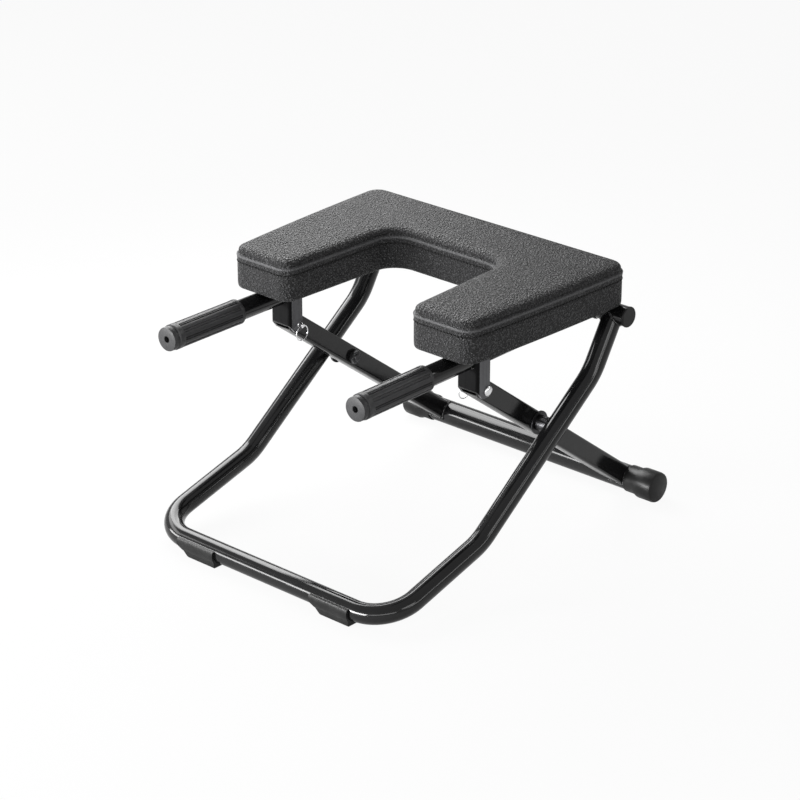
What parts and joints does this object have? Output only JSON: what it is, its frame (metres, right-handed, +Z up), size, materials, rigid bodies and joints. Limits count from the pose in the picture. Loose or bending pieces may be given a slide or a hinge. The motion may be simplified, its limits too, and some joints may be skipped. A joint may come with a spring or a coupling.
{
  "type": "yoga headstand stool",
  "caption": "Folding headstand stool with a bent tube X frame, a U-shaped padded shoulder rest, rubber-gripped handles and pull-out hitch pins.",
  "frame": {"origin": "middle of the footprint on the floor, under the centre of the bounding box", "axes": "+X to the right for someone standing at the handles and facing the pad, +Y from the handles to the rear foot tube, +Z up"},
  "size_m": [0.429, 0.5286, 0.348],
  "materials": {
    "black_paint": "gloss black powder coat on steel tube",
    "bracket_paint": "satin dark grey paint on folded steel",
    "plating": "bright plated steel",
    "dark_steel": "black oxide steel",
    "foot_rubber": "matt black rubber",
    "grip_rubber": "semi-matt dark grey ribbed rubber",
    "black_plastic": "black moulded plastic",
    "plywood": "plain plywood",
    "pad_cover": "dark grey grained leatherette over foam"
  },
  "bodies": {
    "outer_frame": {"base_frame_tube": "black_paint", "rear_cross_tube": "black_paint", "cross_tube_plug_left": "foot_rubber", "cross_tube_plug_right": "foot_rubber", "front_foot_left": "foot_rubber", "front_foot_right": "foot_rubber", "pivot_stud_left": "dark_steel", "pivot_stud_right": "dark_steel", "pivot_washer_left": "dark_steel", "pivot_washer_right": "dark_steel", "lock_nut_left": "dark_steel", "lock_nut_right": "dark_steel"},
    "inner_frame": {"inner_leg_left": "black_paint", "inner_leg_right": "black_paint", "pivot_bush_left": "black_plastic", "pivot_bush_right": "black_plastic", "rear_foot_tube": "black_paint", "rear_foot_cap_left": "foot_rubber", "rear_foot_cap_right": "foot_rubber", "hitch_pin_left": "plating", "hitch_pin_right": "plating"},
    "ring_left": {"split_ring_left": "plating"},
    "ring_right": {"split_ring_right": "plating"},
    "seat": {"seat_rail_left": "black_paint", "seat_rail_right": "black_paint", "hinge_collar_left": "black_paint", "hinge_collar_right": "black_paint", "rail_grip_left": "grip_rubber", "rail_grip_right": "grip_rubber", "hook_bracket_left": "bracket_paint", "hook_bracket_right": "bracket_paint", "seat_board": "plywood", "seat_cushion": "pad_cover", "seat_bolt_front_left": "dark_steel", "seat_bolt_front_right": "dark_steel", "seat_bolt_rear_left": "dark_steel", "seat_bolt_rear_right": "dark_steel", "tee_nut_front_left": "dark_steel", "tee_nut_front_right": "dark_steel", "tee_nut_rear_left": "dark_steel", "tee_nut_rear_right": "dark_steel", "rail_spacer_front_left": "black_plastic", "rail_spacer_front_right": "black_plastic", "rail_spacer_rear_left": "black_plastic", "rail_spacer_rear_right": "black_plastic"}
  },
  "joints": [
    {"name": "frame_fold", "type": "hinge", "parent": "outer_frame", "child": "inner_frame", "pos_m": [0, 0.05425, 0.1624], "axis": [-1, 0, 0], "range_deg": [0, 104]},
    {"name": "seat_lift", "type": "hinge", "parent": "outer_frame", "child": "seat", "pos_m": [0, 0.16325, 0.2796], "axis": [-1, 0, 0], "range_deg": [0, 50]},
    {"name": "ring_swing_left", "type": "hinge", "parent": "inner_frame", "child": "ring_left", "pos_m": [-0.1326, -0.04675, 0.2381], "axis": [0, -1, 0], "range_deg": [-6, 170]},
    {"name": "ring_swing_right", "type": "hinge", "parent": "inner_frame", "child": "ring_right", "pos_m": [0.1326, -0.04675, 0.2381], "axis": [0, 1, 0], "range_deg": [-6, 170]}
  ],
  "couplings": [
    {"joint": "seat_lift", "follows": "frame_fold", "ratio": 0.48}
  ]
}
